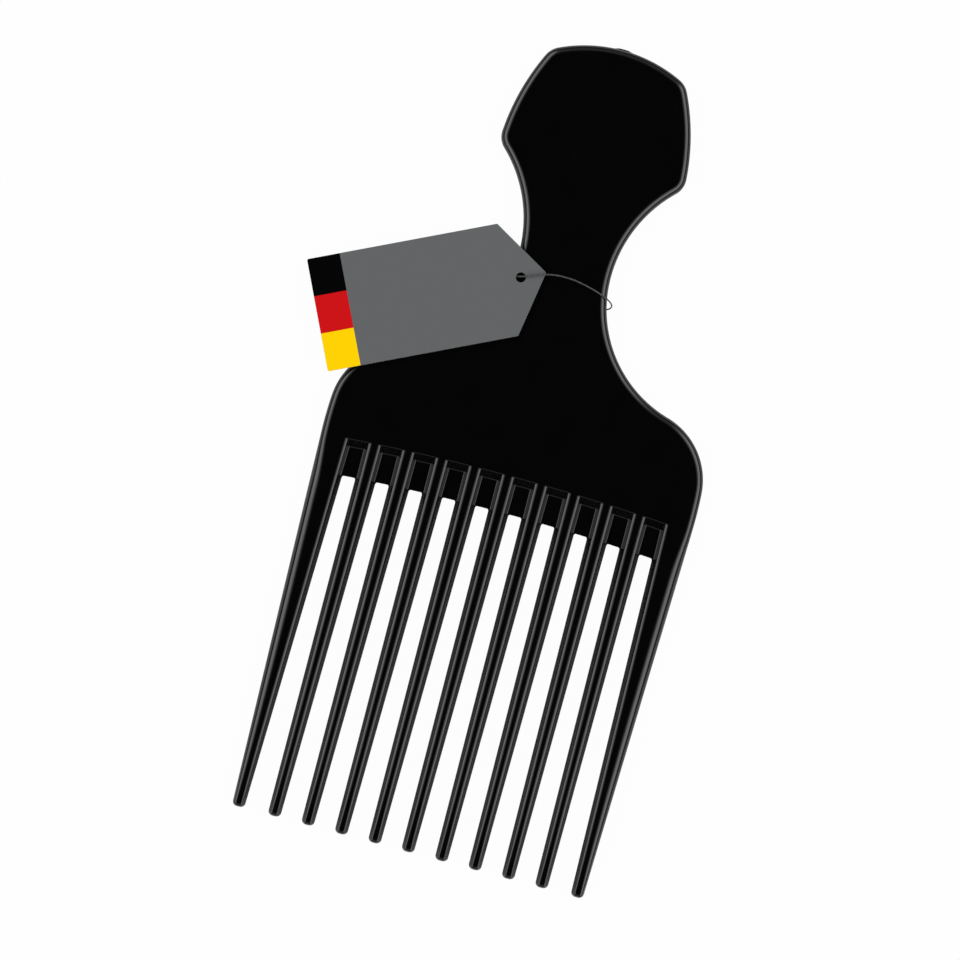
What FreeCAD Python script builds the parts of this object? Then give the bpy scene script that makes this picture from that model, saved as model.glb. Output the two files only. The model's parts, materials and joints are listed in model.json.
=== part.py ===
import FreeCAD
import Part

import math
import os

# An afro pick with a swing tag tied to its neck. Millimetres.
# The pick lies on its back: +X across the teeth, +Y from the tips to the head, +Z up through its thickness.
# The origin is on the table, under the middle of the comb.

Vector = FreeCAD.Vector

# Comb as a whole. Its edges lean in from a parting line at mid-thickness, and are rounded onto both faces.
comb_length = 170.0
comb_thickness = 4.4
flank_lean_deg = 21.0
edge_round = 0.7
round_limit_share = 0.8

# Head. A drop is a distance down from the top of the head.
crown_radius = 30.4
head_width = 39.26
head_widest_drop = 25.43
head_side_radius = 47.6
head_top_corner_radius = 4.6
head_low_corner_radius = 4.3

# Mark left on the top of the head where the plastic ran into the mould.
gate_width = 3.3
gate_height = 0.25
gate_thickness = 1.8
gate_offset = 0.4

# Neck, and the place below it where the handle is parted from the shoulder.
neck_width = 19.55
neck_drop = 45.5
neck_upper_radius = 27.7
neck_lower_radius = 25.76
handle_parting_drop = 57.0

# Shoulder. Its root span is taken across the outer teeth, at their roots.
shoulder_radius = 14.8
side_radius = 80.0
root_span = 78.74

# Teeth: a row of inner ones, and a stouter one at each end. The fan is what the pitch gains towards the tips.
inner_teeth = 9
outer_root_gap = 2.465
tooth_fan = 0.08
tooth_root_width = 4.41
tooth_tip_width = 2.63
tooth_tip_thickness = 2.8
outer_tooth_root_width = 6.7
outer_tooth_tip_width = 2.65
outer_tooth_lean_deg = 1.58
tip_round = 1.0
tip_steps = 4

# Pockets between the tooth roots, on both faces, with a thin web left at mid-thickness. Their row is arched.
pocket_drop = 90.2
pocket_arch_radius = 472.0
pocket_lip = 0.3
pocket_lip_depth = 0.2
pocket_slope = 1.5
web_length = 6.16
web_thickness = 1.4

# Swing tag: a card with one end cut to a point, and a punched hole near that point.
tag_length = 47.5
tag_width = 23.3
tag_thickness = 0.4
tag_point_length = 8.0
tag_hole_radius = 1.03
tag_hole_to_tip = 5.28
tag_hole_x = -8.05
tag_hole_y = 34.52
tag_turn_deg = 25.6
tag_lift = 0.6

# Thread that ties the tag to the neck, and the knot that closes its loop.
thread_diameter = 0.3
thread_clearance = 0.1
knot_diameter = 0.9
knot_end_diameter = 0.4
arc_share = 0.45

# Route of the thread from the top of the knot: up round the neck, through the tag's hole, over its tip,
# across the face, round the other edge, under the back and up to the knot again.
thread_route = [
    (-11.30, 34.20, 3.20),
    (-11.30, 34.20, 4.05),
    (-10.75, 34.30, 4.90),
    (-9.75, 34.42, 5.09),
    (-8.80, 34.55, 5.11),
    (-7.35, 34.86, 6.18),
    (-5.40, 35.65, 6.26),
    (-2.30, 36.75, 6.25),
    (1.80, 36.95, 5.95),
    (5.40, 36.35, 5.56),
    (8.15, 35.60, 5.27),
    (9.95, 34.95, 5.00),
    (11.08, 34.30, 4.15),
    (11.50, 33.85, 2.95),
    (11.38, 33.40, 1.65),
    (10.85, 33.02, 0.56),
    (9.75, 32.80, 0.15),
    (7.30, 32.64, 0.15),
    (2.80, 32.62, 0.15),
    (-2.80, 32.90, 0.15),
    (-7.30, 33.40, 0.15),
    (-9.75, 33.80, 0.15),
    (-10.85, 34.05, 0.52),
    (-11.30, 34.20, 1.18),
    (-11.30, 34.20, 2.00),
]

# How far cuts run past what they cut, and how near two places are to count as one.
overrun = 3.0
match = 0.0001

# Heights and places worked out from the sizes above.
half_thickness = comb_thickness / 2
back_z = thread_diameter + thread_clearance
middle_z = back_z + half_thickness
face_z = back_z + comb_thickness
top_y = comb_length / 2
tip_y = -comb_length / 2
neck_y = top_y - neck_drop
parting_y = top_y - handle_parting_drop
pocket_y = top_y - pocket_drop
web_edge_y = pocket_y - pocket_slope - web_length
lean = math.radians(flank_lean_deg)
outer_lean = math.radians(outer_tooth_lean_deg)


def arch_y(x):
    """Height of the arched row of pockets at a distance x from the middle."""
    return pocket_y - pocket_arch_radius + math.sqrt(pocket_arch_radius**2 - x**2)


def root_y(inner_side_x):
    """Where a tooth leaves the shoulder: at the pockets' lip, on its side nearer to the middle."""
    return arch_y(inner_side_x) + pocket_lip


outer_inner_x = root_span / 2 - outer_tooth_root_width
outer_root_y = root_y(outer_inner_x)
outer_tip_reach = root_span / 2 - (outer_root_y - tip_y - tip_round) * math.tan(outer_lean)
tooth_root_pitch = (outer_inner_x - outer_root_gap - tooth_root_width / 2) / (inner_teeth // 2)
tooth_tip_pitch = tooth_root_pitch + tooth_fan
blade_end_y = web_edge_y - overrun


def meeting_point(centre_a, distance_a, centre_b, distance_b):
    """Point to the right of two centres, at the given distance from each."""
    across = centre_b - centre_a
    apart = across.Length
    along = (distance_a**2 - distance_b**2 + apart**2) / (2 * apart)
    aside = math.sqrt(distance_a**2 - along**2)
    step = across * (along / apart)
    normal = Vector(-across.y, across.x, 0) * (aside / apart)
    return max((centre_a + step + normal, centre_a + step - normal), key=lambda p: p.x)


def outline_arcs():
    """Right-hand half of the outline, from the crown down: (centre, radius), with hollow arcs negative."""
    crown = Vector(0, top_y - crown_radius, 0)
    head_side = Vector(head_width / 2 - head_side_radius, top_y - head_widest_drop, 0)
    neck_upper = Vector(neck_width / 2 + neck_upper_radius, neck_y, 0)
    neck_lower = Vector(neck_width / 2 + neck_lower_radius, neck_y, 0)
    outward = Vector(math.cos(outer_lean), -math.sin(outer_lean), 0)
    side = Vector(root_span / 2, outer_root_y, 0) - outward * side_radius
    top_corner = meeting_point(
        crown,
        crown_radius - head_top_corner_radius,
        head_side,
        head_side_radius - head_top_corner_radius,
    )
    low_corner = meeting_point(
        head_side,
        head_side_radius - head_low_corner_radius,
        neck_upper,
        neck_upper_radius + head_low_corner_radius,
    )
    shoulder = meeting_point(
        neck_lower,
        neck_lower_radius + shoulder_radius,
        side,
        side_radius - shoulder_radius,
    )
    return [
        (crown, crown_radius),
        (top_corner, head_top_corner_radius),
        (head_side, head_side_radius),
        (low_corner, head_low_corner_radius),
        (neck_upper, -neck_upper_radius),
        (neck_lower, -neck_lower_radius),
        (shoulder, shoulder_radius),
        (side, side_radius),
    ]


def mirrored(point):
    return Vector(-point.x, point.y, point.z)


def blade_outline(inset, z):
    """Closed outline of head, neck and shoulder, drawn in by inset, straight beside the outer teeth."""
    arcs = outline_arcs()
    lift = Vector(0, 0, z)
    normals = [Vector(0, 1, 0)]
    for (centre_a, radius_a), (centre_b, radius_b) in zip(arcs, arcs[1:]):
        normals.append((centre_b - centre_a) / (radius_a - radius_b))
    normals.append(Vector(math.cos(outer_lean), -math.sin(outer_lean), 0))
    edges = []
    for (centre, radius), first, last in zip(arcs, normals, normals[1:]):
        between = (first + last).normalize()
        start, middle, end = (centre + lift + n * (radius - inset) for n in (first, between, last))
        edges.append(Part.Arc(start, middle, end).toShape())
        edges.append(Part.Arc(mirrored(start), mirrored(middle), mirrored(end)).toShape())
    foot = Vector(end.x - (end.y - blade_end_y) * math.tan(outer_lean), blade_end_y, z)
    edges.append(Part.makeLine(end, foot))
    edges.append(Part.makeLine(mirrored(end), mirrored(foot)))
    edges.append(Part.makeLine(foot, mirrored(foot)))
    return Part.Wire(Part.__sortEdges__(edges))


def all_at(edge, axis, place):
    """Whether both ends of an edge lie at one place along an axis."""
    return all(abs(getattr(v.Point, axis) - place) < match for v in edge.Vertexes)


def blade():
    """Head, neck and shoulder as one plate, its edges leaning in from the parting line and rounded."""
    inset = half_thickness * math.tan(lean)
    halves = []
    for z in (face_z, back_z):
        half = Part.makeLoft([blade_outline(0, middle_z), blade_outline(inset, z)], True, True)
        face_edges = [e for e in half.Edges if all_at(e, "z", z)]
        rim = [e for e in face_edges if not all_at(e, "y", blade_end_y)]
        halves.append(half.makeFillet(edge_round, rim))
    return halves[0].fuse(halves[1]).removeSplitter()


def gate_mark():
    bar = Part.makeBox(gate_width, gate_height + crown_radius, gate_thickness)
    bar.translate(Vector(gate_offset - gate_width / 2, top_y - crown_radius, middle_z - gate_thickness / 2))
    return bar


def tooth_section(centre_x, y, width, thickness, size_share):
    """Six-sided section square to Y, with a parting line on each side and rounded face edges."""
    half_width = size_share * width / 2
    half_height = size_share * thickness / 2
    corner = half_width - half_height * math.tan(lean)
    half_turn = (math.pi / 2 - lean) / 2
    radius = min(size_share * edge_round, round_limit_share * corner / math.tan(half_turn))
    setback = radius * math.tan(half_turn)
    flank_end = (corner + setback * math.sin(lean), half_height - setback * math.cos(lean))
    flat_end = (corner - setback, half_height)
    bulge = (
        flat_end[0] + radius * math.sin(half_turn),
        half_height - radius + radius * math.cos(half_turn),
    )

    def at(point, side, up):
        return Vector(centre_x + side * point[0], y, middle_z + up * point[1])

    edges = []
    for side, up in ((1, 1), (-1, 1), (-1, -1), (1, -1)):
        parting = at((half_width, 0), side, up)
        edges.append(Part.makeLine(parting, at(flank_end, side, up)))
        edges.append(Part.Arc(at(flank_end, side, up), at(bulge, side, up), at(flat_end, side, up)).toShape())
    for up in (1, -1):
        edges.append(Part.makeLine(at(flat_end, 1, up), at(flat_end, -1, up)))
    return Part.Wire(Part.__sortEdges__(edges))


def tooth(root_x, start_y, root_width, tip_x, tip_width):
    """One tapered tooth with a rounded tip."""
    sections = [tooth_section(root_x, start_y, root_width, comb_thickness, 1.0)]
    for step in range(tip_steps):
        angle = math.pi / 2 * step / tip_steps
        share = 1.0 - (1.0 - math.cos(angle)) * tip_round / (tip_width / 2)
        y = tip_y + tip_round * (1.0 - math.sin(angle))
        sections.append(tooth_section(tip_x, y, tip_width, tooth_tip_thickness, share))
    end_share = 1.0 - tip_round / (tip_width / 2)
    sections.append(tooth_section(tip_x, tip_y, tip_width, tooth_tip_thickness, end_share))
    return Part.makeLoft(sections, True, True)


def inner_tooth(index):
    """A tooth of the inner row, counted from the one in the middle."""
    root_x = index * tooth_root_pitch
    start_y = root_y(max(0, abs(root_x) - tooth_root_width / 2))
    return tooth(root_x, start_y, tooth_root_width, index * tooth_tip_pitch, tooth_tip_width)


def outer_tooth(side):
    """The stout tooth at one end of the row. Its outer edge carries on the outline of the shoulder."""
    root_x = side * (root_span / 2 - outer_tooth_root_width / 2)
    tip_x = side * (outer_tip_reach - outer_tooth_tip_width / 2)
    return tooth(root_x, outer_root_y, outer_tooth_root_width, tip_x, outer_tooth_tip_width)


def teeth():
    """All teeth from left to right."""
    middle = inner_teeth // 2
    return [outer_tooth(-1), *(inner_tooth(i - middle) for i in range(inner_teeth)), outer_tooth(1)]


def pocket_cut():
    """What is cut from the plate between and below the tooth roots, turned about the centre of their arch."""
    slope_foot_y = pocket_y - pocket_slope
    far_y = blade_end_y - overrun
    upper = [
        (far_y, half_thickness + overrun),
        (pocket_y + pocket_lip, half_thickness + overrun),
        (pocket_y + pocket_lip, half_thickness),
        (pocket_y, half_thickness - pocket_lip_depth),
        (slope_foot_y, web_thickness / 2),
        (web_edge_y, web_thickness / 2),
    ]
    lower = [(y, -z) for y, z in reversed(upper)]
    points = [Vector(0, y, middle_z + z) for y, z in upper + lower]
    profile = Part.Face(Part.makePolygon(points + points[:1]))
    centre = Vector(0, pocket_y - pocket_arch_radius, 0)
    half_angle = math.degrees(math.asin((root_span / 2 + overrun) / (pocket_arch_radius - web_length)))
    profile.rotate(centre, Vector(0, 0, 1), -half_angle)
    return profile.revolve(centre, Vector(0, 0, 1), 2 * half_angle)


def side_cut(side):
    """What is cut from the plate outside the middle of an outer tooth, below its root."""
    inner_x = root_span / 2 - outer_tooth_root_width / 2
    box = Part.makeBox(outer_tooth_root_width, outer_root_y - blade_end_y + overrun, comb_thickness + overrun)
    box.translate(Vector(inner_x, blade_end_y - overrun, back_z - overrun / 2))
    return box if side > 0 else box.mirror(Vector(0, 0, 0), Vector(1, 0, 0))


def half_space(below):
    """A block that covers the plate on one side of the place where the handle is parted from the shoulder."""
    width = root_span + 2 * overrun
    length = comb_length + overrun
    block = Part.makeBox(width, length, comb_thickness + 2 * overrun)
    block.translate(Vector(-width / 2, parting_y - (length if below else 0), back_z - overrun))
    return block


def swing_tag():
    """Card with its hole at the local origin and its tip along local +X, turned and set over the neck."""
    base_x = tag_hole_to_tip - tag_length
    slope_x = tag_hole_to_tip - tag_point_length
    half_width = tag_width / 2
    corners = [
        Vector(tag_hole_to_tip, 0, 0),
        Vector(slope_x, half_width, 0),
        Vector(base_x, half_width, 0),
        Vector(base_x, -half_width, 0),
        Vector(slope_x, -half_width, 0),
    ]
    card = Part.Face(Part.makePolygon(corners + corners[:1])).extrude(Vector(0, 0, tag_thickness))
    hole = Part.makeCylinder(tag_hole_radius, tag_thickness + 2 * overrun, Vector(0, 0, -overrun))
    card = card.cut(hole)
    card.rotate(Vector(0, 0, 0), Vector(0, 0, 1), tag_turn_deg)
    card.translate(Vector(tag_hole_x, tag_hole_y, face_z + tag_lift))
    return card


def thread():
    """Thread along its route: straight runs joined by tangent arcs, each as large as its runs allow."""
    points = [Vector(*p) for p in thread_route]
    edges = []
    radii = []
    start = points[0]
    for before, corner, after in zip(points, points[1:], points[2:]):
        back = (before - corner).normalize()
        ahead = (after - corner).normalize()
        reach = arc_share * min((before - corner).Length, (after - corner).Length)
        half_turn = (math.pi - back.getAngle(ahead)) / 2
        radius = reach / math.tan(half_turn)
        inward = (back + ahead).normalize()
        middle = corner + inward * (radius / math.cos(half_turn) - radius)
        enter, leave = corner + back * reach, corner + ahead * reach
        edges.append(Part.makeLine(start, enter))
        edges.append(Part.Arc(enter, middle, leave).toShape())
        radii.append(radius)
        start = leave
    edges.append(Part.makeLine(start, points[-1]))
    path = Part.Wire(edges)
    heading = points[1] - points[0]
    ring = Part.Wire(Part.makeCircle(thread_diameter / 2, points[0], heading))
    tube = path.makePipeShell([ring], True, False)
    expected = math.pi * (thread_diameter / 2) ** 2 * path.Length
    print("thread length", round(path.Length, 2), "radii", [round(r, 2) for r in radii])
    print("thread volume over section times length", round(tube.Volume / expected, 4))
    return tube


def thread_knot():
    """Barrel-shaped knot between the two ends of the thread, which meet the flats at its ends."""
    low, high = Vector(*thread_route[-1]), Vector(*thread_route[0])
    flat = Vector(knot_end_diameter / 2, 0, 0)
    belly = (low + high) / 2 + Vector(knot_diameter / 2, 0, 0)
    profile = Part.Wire(
        [
            Part.makeLine(low, low + flat),
            Part.Arc(low + flat, belly, high + flat).toShape(),
            Part.makeLine(high + flat, high),
            Part.makeLine(high, low),
        ]
    )
    return Part.Face(profile).revolve(low, high - low, 360)


tooth_row = teeth()
plate = blade()
cuts = [pocket_cut(), side_cut(1), side_cut(-1)]
parts = {
    "handle": plate.common(half_space(False)).fuse(gate_mark()),
    "shoulder": plate.common(half_space(True)).cut(cuts).cut(tooth_row, match),
    "swing_tag": swing_tag(),
    "tag_thread": thread(),
    "thread_knot": thread_knot(),
}
for number, shape in enumerate(tooth_row, 1):
    parts[f"tooth_{number:02d}"] = shape

os.makedirs("parts", exist_ok=True)
for name, shape in parts.items():
    print(name, "solids", len(shape.Solids), "valid", shape.isValid(), "volume", round(shape.Volume, 2))
    shape.exportStep(f"parts/{name}.step")
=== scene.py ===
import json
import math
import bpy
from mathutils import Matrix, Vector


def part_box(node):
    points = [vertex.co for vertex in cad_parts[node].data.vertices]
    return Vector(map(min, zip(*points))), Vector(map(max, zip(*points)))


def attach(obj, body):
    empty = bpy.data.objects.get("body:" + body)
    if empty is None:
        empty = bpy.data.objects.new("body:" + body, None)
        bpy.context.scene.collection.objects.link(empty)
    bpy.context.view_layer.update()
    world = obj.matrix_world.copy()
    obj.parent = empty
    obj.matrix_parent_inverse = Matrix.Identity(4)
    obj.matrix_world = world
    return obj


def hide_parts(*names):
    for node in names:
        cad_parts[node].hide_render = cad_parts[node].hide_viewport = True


bl_info = {
    "name": "Afro Pick",
    "version": (1, 0, 0),
    "blender": (4, 5, 0),
    "location": "3D View > Sidebar > Afro Pick",
    "description": "Builds a moulded afro pick with its swing tag and thread around a packed frame",
    "category": "Add Mesh",
}

import bmesh
import bpy
from mathutils import Matrix, Vector

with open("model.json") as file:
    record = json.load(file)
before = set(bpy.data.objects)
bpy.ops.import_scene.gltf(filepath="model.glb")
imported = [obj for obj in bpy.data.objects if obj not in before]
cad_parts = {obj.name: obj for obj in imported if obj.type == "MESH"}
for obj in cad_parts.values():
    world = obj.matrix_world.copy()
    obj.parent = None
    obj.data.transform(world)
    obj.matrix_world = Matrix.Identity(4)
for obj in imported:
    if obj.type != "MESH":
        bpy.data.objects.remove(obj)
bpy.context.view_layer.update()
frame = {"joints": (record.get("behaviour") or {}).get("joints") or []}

MM = 0.001
WELD = 0.002 * MM
SHARP_ANGLE = math.radians(33)
TEETH = [f"tooth_{number:02d}" for number in range(1, 12)]

# Heights that every piece shares, from the frame: the comb's back, its parting line and its face.
handle_low, handle_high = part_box("handle")
tooth_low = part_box("tooth_06")[0]
back_z, face_z = handle_low.z, handle_high.z
middle_z = (back_z + face_z) / 2


def linear(hex_code):
    """Linear red, green and blue of an sRGB hex value."""
    levels = [int(hex_code[i : i + 2], 16) / 255 for i in (1, 3, 5)]
    return [v / 12.92 if v <= 0.04045 else ((v + 0.055) / 1.055) ** 2.4 for v in levels]


def number(label, value, about, **kind):
    return bpy.props.FloatProperty(name=label, description=about, default=value, **kind)


def size(label, millimetres, about):
    """A length, given in millimetres and held in metres."""
    return number(label, millimetres * MM, about, precision=5, unit="LENGTH", subtype="DISTANCE")


def angle(label, degrees, about):
    return number(label, math.radians(degrees), about, unit="ROTATION", subtype="ANGLE")


def colour(label, hex_code, about):
    return bpy.props.FloatVectorProperty(
        name=label, description=about, default=linear(hex_code), size=3, min=0, max=1, subtype="COLOR"
    )


class BladeSizes(bpy.types.PropertyGroup):
    """Head, neck and shoulder."""

    top_y: size("Top", 85.0, "Top of the head, from the middle of the comb")
    crown_radius: size("Crown radius", 30.4, "Radius of the top of the head")
    head_width: size("Head width", 39.26, "Widest place of the head")
    head_widest_drop: size("Head widest drop", 25.43, "From the top down to the widest place of the head")
    head_side_radius: size("Head side radius", 47.6, "Radius of the sides of the head")
    top_corner_radius: size("Top corner radius", 4.6, "Radius of the upper corners of the head")
    low_corner_radius: size("Low corner radius", 4.3, "Radius of the lower corners of the head")
    neck_width: size("Neck width", 19.55, "Narrowest place of the neck")
    neck_drop: size("Neck drop", 45.5, "From the top down to the narrowest place of the neck")
    neck_upper_radius: size("Upper neck radius", 27.7, "Radius of the hollow between head and neck")
    neck_lower_radius: size("Lower neck radius", 25.76, "Radius of the hollow between neck and shoulder")
    shoulder_radius: size("Shoulder radius", 14.8, "Radius of the corners of the shoulder")
    side_radius: size("Side radius", 80.0, "Radius of the sides below the shoulder")
    root_span: size("Root span", 78.74, "Across the outer teeth, at their roots")
    root_y: size("Root line", -6.03, "Where the outer teeth begin, from the middle of the comb")
    lean: angle("Edge lean", 4.0, "How far the edge leans in from the parting line")
    soft_radius: size("Soft radius", 1.55, "Radius of the round next to the face")
    soft_angle: angle("Soft angle", 45.0, "Turn of the round next to the face")
    tight_radius: size("Tight radius", 1.45, "Radius of the round next to the flank")
    step: size("Step", 0.4, "Spacing of the points along the outline")
    gate_width: size("Gate width", 4.3, "Width of the mark where the plastic ran into the mould")
    gate_height: size("Gate height", 0.25, "How far the gate mark stands out")
    gate_thickness: size("Gate thickness", 1.3, "Thickness of the gate mark")
    gate_offset: size("Gate offset", 0.25, "From the middle of the head to the gate mark")
    gate_slope: size("Gate slope", 1.3, "Length of the slopes at the ends of the gate mark")


class ToothSizes(bpy.types.PropertyGroup):
    """The teeth and the pockets between their roots."""

    count: bpy.props.IntProperty(name="Inner teeth", description="Teeth between the outer ones", default=9)
    root_pitch: size("Root pitch", 7.0, "Spacing of the inner teeth at their roots")
    fan: size("Fan", 0.08, "What the pitch gains towards the tips")
    root_width: size("Root width", 4.41, "Width of an inner tooth at its root")
    tip_width: size("Tip width", 2.63, "Width of an inner tooth at its tip")
    tip_thickness: size("Tip thickness", 2.8, "Thickness of every tooth at its tip")
    outer_root_width: size("Outer root width", 6.7, "Width of an outer tooth at its root")
    outer_tip_width: size("Outer tip width", 2.65, "Width of an outer tooth at its tip")
    outer_lean: angle("Outer lean", 1.58, "How far the outer teeth lean in towards their tips")
    outer_flank_lean: angle("Outer flank lean", 15.0, "Edge lean of the outer teeth")
    tip_round: size("Tip round", 1.0, "Corner radius of the tips")
    lean: angle("Flank lean", 25.5, "How far the flanks lean in from the parting line")
    soft_radius: size("Soft radius", 1.5, "Radius of the round next to the face")
    soft_angle: angle("Soft angle", 29.0, "Turn of the round next to the face")
    tight_radius: size("Tight radius", 0.45, "Radius of the round next to the flank")
    tip_edge: number("Tip edge", 0.32, "What is left of these radii at the tip", subtype="FACTOR")
    row_step: size("Row step", 2.0, "Spacing of the points along a tooth")
    pocket_y: size("Pocket line", -5.08, "Upper edge of the middle pockets, from the middle of the comb")
    arch_radius: size("Arch radius", 472.0, "Radius of the arch that the pockets lie on")
    pocket_slope: angle("Pocket slope", 43.0, "Slope of the upper wall of a pocket")
    pocket_lip: size("Pocket lip", 0.2, "Radius of the upper edge of a pocket")
    pocket_fillet: size("Pocket fillet", 0.24, "Radius between the flanks and the floor of a pocket")
    pocket_step: size("Pocket step", 0.12, "Spacing of the points at the upper wall of a pocket")
    web_edge_y: size("Web edge", -12.86, "Lower edge of the middle webs, from the middle of the comb")
    web_thickness: size("Web thickness", 1.4, "Thickness of the web at the bottom of a pocket")
    web_corner: size("Web corner", 0.4, "Radius between the edge of a web and the teeth")


class TagSizes(bpy.types.PropertyGroup):
    """The swing tag."""

    length: size("Length", 47.5, "From the square end to the point")
    width: size("Width", 23.3, "Width of the card")
    point_length: size("Point length", 8.0, "Length of the pointed end")
    hole_radius: size("Hole radius", 1.03, "Radius of the punched hole")
    hole_to_tip: size("Hole to tip", 5.28, "From the hole to the point")
    corner: size("Corner", 0.35, "Radius of the corners")
    edge: size("Edge", 0.05, "Soft edge that the cutting die leaves")
    turn: angle("Turn", 25.6, "How far the tag is turned about its hole")
    block: size("Stripe block", 6.8, "Width of the striped block at the square end")


class ThreadSizes(bpy.types.PropertyGroup):
    """The thread and its knot."""

    diameter: size("Diameter", 0.3, "Thickness of the thread")
    length: size("Thread length", 52.3, "Length of the thread from one side of the knot to the other")
    knot_diameter: size("Knot diameter", 0.9, "Widest place of the knot")
    knot_end: size("Knot end", 0.4, "Width of the knot at its ends")
    wraps: bpy.props.IntProperty(name="Wraps", description="Turns of thread round the knot", default=3)
    wrap_depth: size("Wrap depth", 0.05, "Depth of the grooves between the turns")


class Finishes(bpy.types.PropertyGroup):
    """Colours of the object and of the stage."""

    plastic: colour("Plastic", "#040404", "Black polystyrene of the comb")
    card: colour("Card", "#626465", "Grey print of the tag")
    core: colour("Card core", "#B9B6AE", "Cut edges of the card")
    stripe_top: colour("Upper stripe", "#010101", "Stripe at the top of the block")
    stripe_middle: colour("Middle stripe", "#CC1216", "Stripe at the middle of the block")
    stripe_bottom: colour("Lower stripe", "#FFD200", "Stripe at the bottom of the block")
    thread: colour("Thread", "#3C3C3E", "Dark thread")
    floor: colour("Floor", "#D4D4D4", "Pale floor")


class StageSizes(bpy.types.PropertyGroup):
    """Camera, floor and light."""

    aim_x: size("Aim X", -5.37, "Place under the middle of the picture")
    aim_y: size("Aim Y", -7.56, "Place under the middle of the picture")
    frame_width: size("Frame width", 196.67, "Width of the picture at the parting line")
    roll: angle("Roll", 15.04, "How far the comb leans to the right in the picture")
    lens: number("Lens", 135.0, "Focal length", unit="CAMERA")
    panel_light: number("Panels", 2.5, "Light of the side panels")
    fill_light: number("Fill", 0.35, "Light from the other sides")


def settings(name):
    return getattr(bpy.context.scene, "afro_pick_" + name)


# Mesh helpers


def lerp(a, b, t):
    return a + (b - a) * t


def smooth(t):
    """Eases a share that runs from 0 to 1."""
    t = min(max(t, 0.0), 1.0)
    return t * t * (3 - 2 * t)


def add_grid(bm, rows):
    """Adds quads through rows of points that all have the same number of points."""
    verts = [[bm.verts.new(point) for point in row] for row in rows]
    for upper, lower in zip(verts, verts[1:]):
        for a, b, c, d in zip(upper, upper[1:], lower[1:], lower):
            bm.faces.new((a, b, c, d))


def add_cap(bm, points):
    bm.faces.new([bm.verts.new(point) for point in points])


def add_mirrored(bm, axis, place):
    """Adds the mirror image of everything, across a plane square to an axis."""
    copy = bmesh.ops.duplicate(bm, geom=bm.faces[:])["geom"]
    for vert in (item for item in copy if isinstance(item, bmesh.types.BMVert)):
        vert.co[axis] = 2 * place - vert.co[axis]


def weld(bm):
    bmesh.ops.remove_doubles(bm, verts=bm.verts[:], dist=WELD)


def link_piece(name, mesh, material):
    piece = bpy.data.objects.new(name, mesh)
    bpy.context.scene.collection.objects.link(piece)
    mesh.materials.clear()
    mesh.materials.append(material)
    return piece


def fill_rims(bm, heights):
    """Closes the flats inside the open rims at these heights."""
    for z in heights:
        rim = [e for e in bm.edges if e.is_boundary and all(abs(v.co.z - z) < WELD for v in e.verts)]
        bmesh.ops.triangle_fill(bm, edges=rim, use_beauty=True, use_dissolve=False)


def mesh_from(bm, name):
    mesh = bpy.data.meshes.new(name)
    bm.to_mesh(mesh)
    bm.free()
    return mesh


def finished_mesh(bm, name):
    """A mesh with outward faces, smooth apart from its sharp edges."""
    bmesh.ops.recalc_face_normals(bm, faces=bm.faces[:])
    for face in bm.faces:
        face.smooth = True
    for edge in bm.edges:
        edge.smooth = len(edge.link_faces) == 2 and edge.calc_face_angle() < SHARP_ANGLE
    return mesh_from(bm, name)


# Edge profiles of the comb. Each is a list of (inset, height) pairs, from the parting line to just inside the
# face, where inset is the distance in from the outline and height the distance up from the parting line.

TIGHT_STEPS = 4
SOFT_STEPS = 5
JUNCTION = 3
JUNCTION_SHARE = 0.8
HOLD = 0.06 * MM

# Points of a profile from JUNCTION on: that one, the rounds with their last point, and one inside the face.
FLANK_POINTS = 1 + TIGHT_STEPS + SOFT_STEPS + 1 + 1


def moulded_edge(half_thickness, soft, tight, bend, lean):
    """A flank and two rounds. A pocket's fillet and the gate mark end at the point numbered JUNCTION."""
    turn = math.pi / 2 - lean
    bend_plan, bend_drop = soft * math.sin(bend), soft * (1 - math.cos(bend))
    flank_plan = bend_plan + tight * (math.sin(turn) - math.sin(bend))
    flank_height = half_thickness - bend_drop - tight * (math.cos(bend) - math.cos(turn))
    reach = flank_plan + flank_height * math.tan(lean)
    points = []
    for step in range(JUNCTION + 1):
        height = JUNCTION_SHARE * flank_height * step / JUNCTION
        points.append((height * math.tan(lean), height))
    for step in range(TIGHT_STEPS):
        tilt = lerp(turn, bend, step / TIGHT_STEPS)
        plan = bend_plan + tight * (math.sin(tilt) - math.sin(bend))
        drop = bend_drop + tight * (math.cos(bend) - math.cos(tilt))
        points.append((reach - plan, half_thickness - drop))
    for step in range(SOFT_STEPS + 1):
        tilt = bend * (1 - step / SOFT_STEPS)
        points.append((reach - soft * math.sin(tilt), half_thickness - soft * (1 - math.cos(tilt))))
    points.append((reach + HOLD, half_thickness))
    return points


def scaled_edge(sizes, half_thickness, radius_share, lean):
    """Edge of the blade or of a tooth, with a share of its radii."""
    soft, tight = sizes.soft_radius * radius_share, sizes.tight_radius * radius_share
    return moulded_edge(half_thickness, soft, tight, sizes.soft_angle, lean)


def nose_edge(like):
    """A quarter ellipse with as many points as another profile, and its reach and height."""
    reach, height = like[-2]
    count = len(like) - 2
    points = []
    for step in range(count + 1):
        tilt = math.pi / 2 * step / count
        points.append((reach * (1 - math.cos(tilt)), height * math.sin(tilt)))
    points.append(like[-1])
    return points


def mixed_edge(first, last, t):
    return [(lerp(a, c, t), lerp(b, d, t)) for (a, b), (c, d) in zip(first, last)]


def edge_row(point, normal, profile):
    """The profile set up at a point of the outline, from the parting line inwards."""
    return [
        Vector((point[0] - normal[0] * inset, point[1] - normal[1] * inset, middle_z + height))
        for inset, height in profile
    ]


# Outline of the blade

FEWEST_ARC_STEPS = 4


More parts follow.
